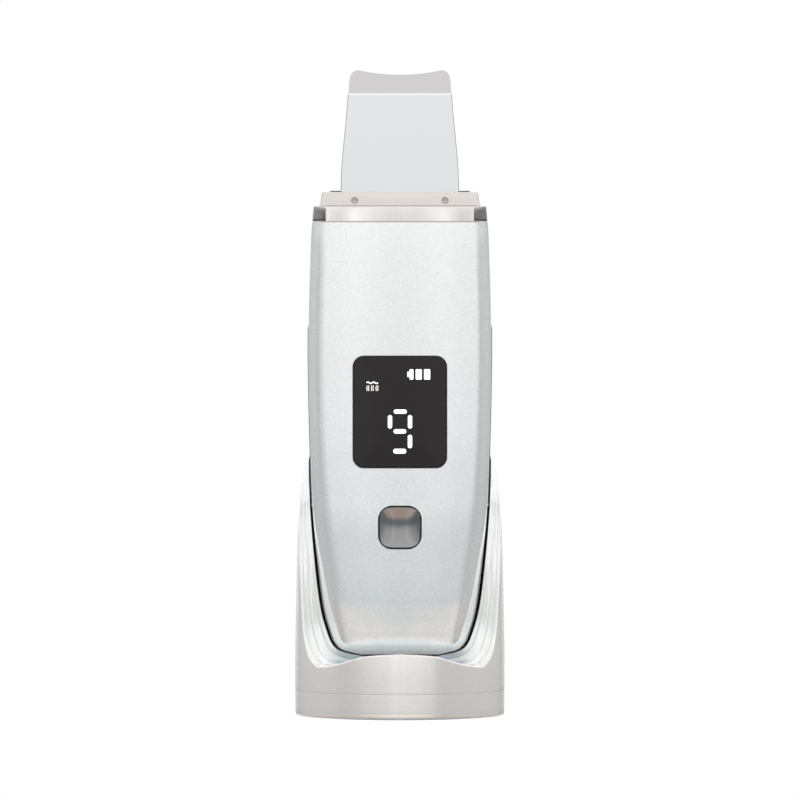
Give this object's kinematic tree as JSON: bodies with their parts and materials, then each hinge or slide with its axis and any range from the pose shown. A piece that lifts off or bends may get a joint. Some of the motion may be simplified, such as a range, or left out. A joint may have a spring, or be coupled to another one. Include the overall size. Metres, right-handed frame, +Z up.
{
  "type": "ultrasonic skin scrubber",
  "caption": "Ultrasonic skin scrubber with a bent steel spatula, digit display, power button and hand electrodes, standing in a cut-away charging dock.",
  "frame": {"origin": "centre of the dock's footprint, on the surface it stands on", "axes": "+Z up along the handset, -Y out of the display side, +X to the right as seen from behind the handset"},
  "size_m": [0.0524, 0.046, 0.1615],
  "materials": {
    "body_pearl": "pearl silver paint with a fine sparkle",
    "dock_pearl": "warm pearl paint with a fine sparkle",
    "chrome_trim": "bright chrome plating",
    "button_chrome": "dark nickel plating, dished",
    "hand_metal": "satin plated metal",
    "collar_ivory": "satin warm white",
    "pin_metal": "plain metal",
    "blade_steel": "polished stainless steel",
    "seal_rubber": "matte",
    "display_black": "polished black window",
    "display_white": "lit white segments",
    "screw_steel": "zinc plated",
    "board_green": "solder mask",
    "chip_black": "matte",
    "ferrite": "ground ferrite with copper winding",
    "cell_blue": "shrink film",
    "foam": "soft foam",
    "lead_red": "wire insulation",
    "lead_black": "wire insulation",
    "piezo_ceramic": "silvered ceramic",
    "contact_gold": "gold plated",
    "liner_black": "soft black lining",
    "weight_steel": "raw steel",
    "socket_metal": "nickel plated"
  },
  "bodies": {
    "dock": {"dock_shell": "dock_pearl", "cradle_liner": "liner_black", "dock_base": "dock_pearl", "foot_pad": "seal_rubber", "dock_weight": "weight_steel", "dock_screw_1": "screw_steel", "dock_screw_2": "screw_steel", "dock_screw_3": "screw_steel", "dock_screw_4": "screw_steel", "dock_board": "board_green", "usb_socket": "socket_metal", "contact_block": "chip_black"},
    "handset": {"front_shell": "body_pearl", "back_shell": "body_pearl", "trim_ring": "chrome_trim", "nose_collar": "collar_ivory", "collar_pin_left": "pin_metal", "collar_pin_right": "pin_metal", "blade_seal": "seal_rubber", "spatula_blade": "blade_steel", "piezo_disc": "piezo_ceramic", "blade_damper_front": "seal_rubber", "blade_damper_back": "seal_rubber", "display_lens": "display_black", "display_module": "display_white", "tact_switch": "screw_steel", "main_board": "board_green", "controller_chip": "chip_black", "drive_transformer": "ferrite", "buzzer": "chip_black", "battery_cell": "cell_blue", "battery_pad": "foam", "battery_lead_left": "lead_black", "battery_lead_right": "lead_red", "piezo_lead_left": "lead_black", "piezo_lead_right": "lead_red", "hand_electrode_left": "hand_metal", "hand_electrode_right": "hand_metal", "electrode_spring_left": "contact_gold", "electrode_spring_right": "contact_gold", "charge_contact_left": "contact_gold", "charge_contact_right": "contact_gold", "shell_screw_1": "screw_steel", "shell_screw_2": "screw_steel", "shell_screw_3": "screw_steel", "shell_screw_4": "screw_steel"},
    "button": {"power_button": "button_chrome", "switch_plunger": "chip_black"},
    "charge_pin_left": {"charge_pin_left": "contact_gold"},
    "charge_pin_right": {"charge_pin_right": "contact_gold"}
  },
  "joints": [
    {"name": "handset_lift", "type": "slide", "parent": "dock", "child": "handset", "axis": [0, 0, 1], "range_m": [0, 0.075]},
    {"name": "button_press", "type": "slide", "parent": "handset", "child": "button", "axis": [0, 1, 0], "range_m": [0, 0.0005], "stiffness_N_per_m": 3000},
    {"name": "charge_pin_left_press", "type": "slide", "parent": "dock", "child": "charge_pin_left", "axis": [0, 0, -1], "range_m": [0, 0.0008], "stiffness_N_per_m": 500},
    {"name": "charge_pin_right_press", "type": "slide", "parent": "dock", "child": "charge_pin_right", "axis": [0, 0, -1], "range_m": [0, 0.0008], "stiffness_N_per_m": 500}
  ]
}
